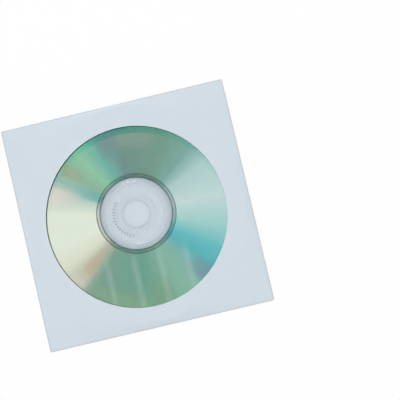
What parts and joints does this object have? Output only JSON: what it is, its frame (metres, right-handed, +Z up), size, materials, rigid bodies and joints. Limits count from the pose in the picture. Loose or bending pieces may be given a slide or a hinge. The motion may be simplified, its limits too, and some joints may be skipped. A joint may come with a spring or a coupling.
{
  "type": "cd sleeve",
  "caption": "Square white paper sleeve for an optical disc, with a round clear film window and its closing flap folded behind, holding a recordable disc data side out.",
  "frame": {"origin": "middle of the sleeve's outline, on the underside, where it lies on a table", "axes": "+Z up through the window, +Y towards the edge where the closing flap folds behind, +X to the right with the window up"},
  "size_m": [0.126, 0.125, 0.0019],
  "materials": {
    "sleeve_paper": "matte",
    "window_film": "gloss",
    "disc": "gloss",
    "recording_layer": "gloss"
  },
  "bodies": {
    "root": {"sleeve_paper": "sleeve_paper", "window_film": "window_film", "disc": "disc", "recording_layer": "recording_layer"}
  },
  "joints": []
}
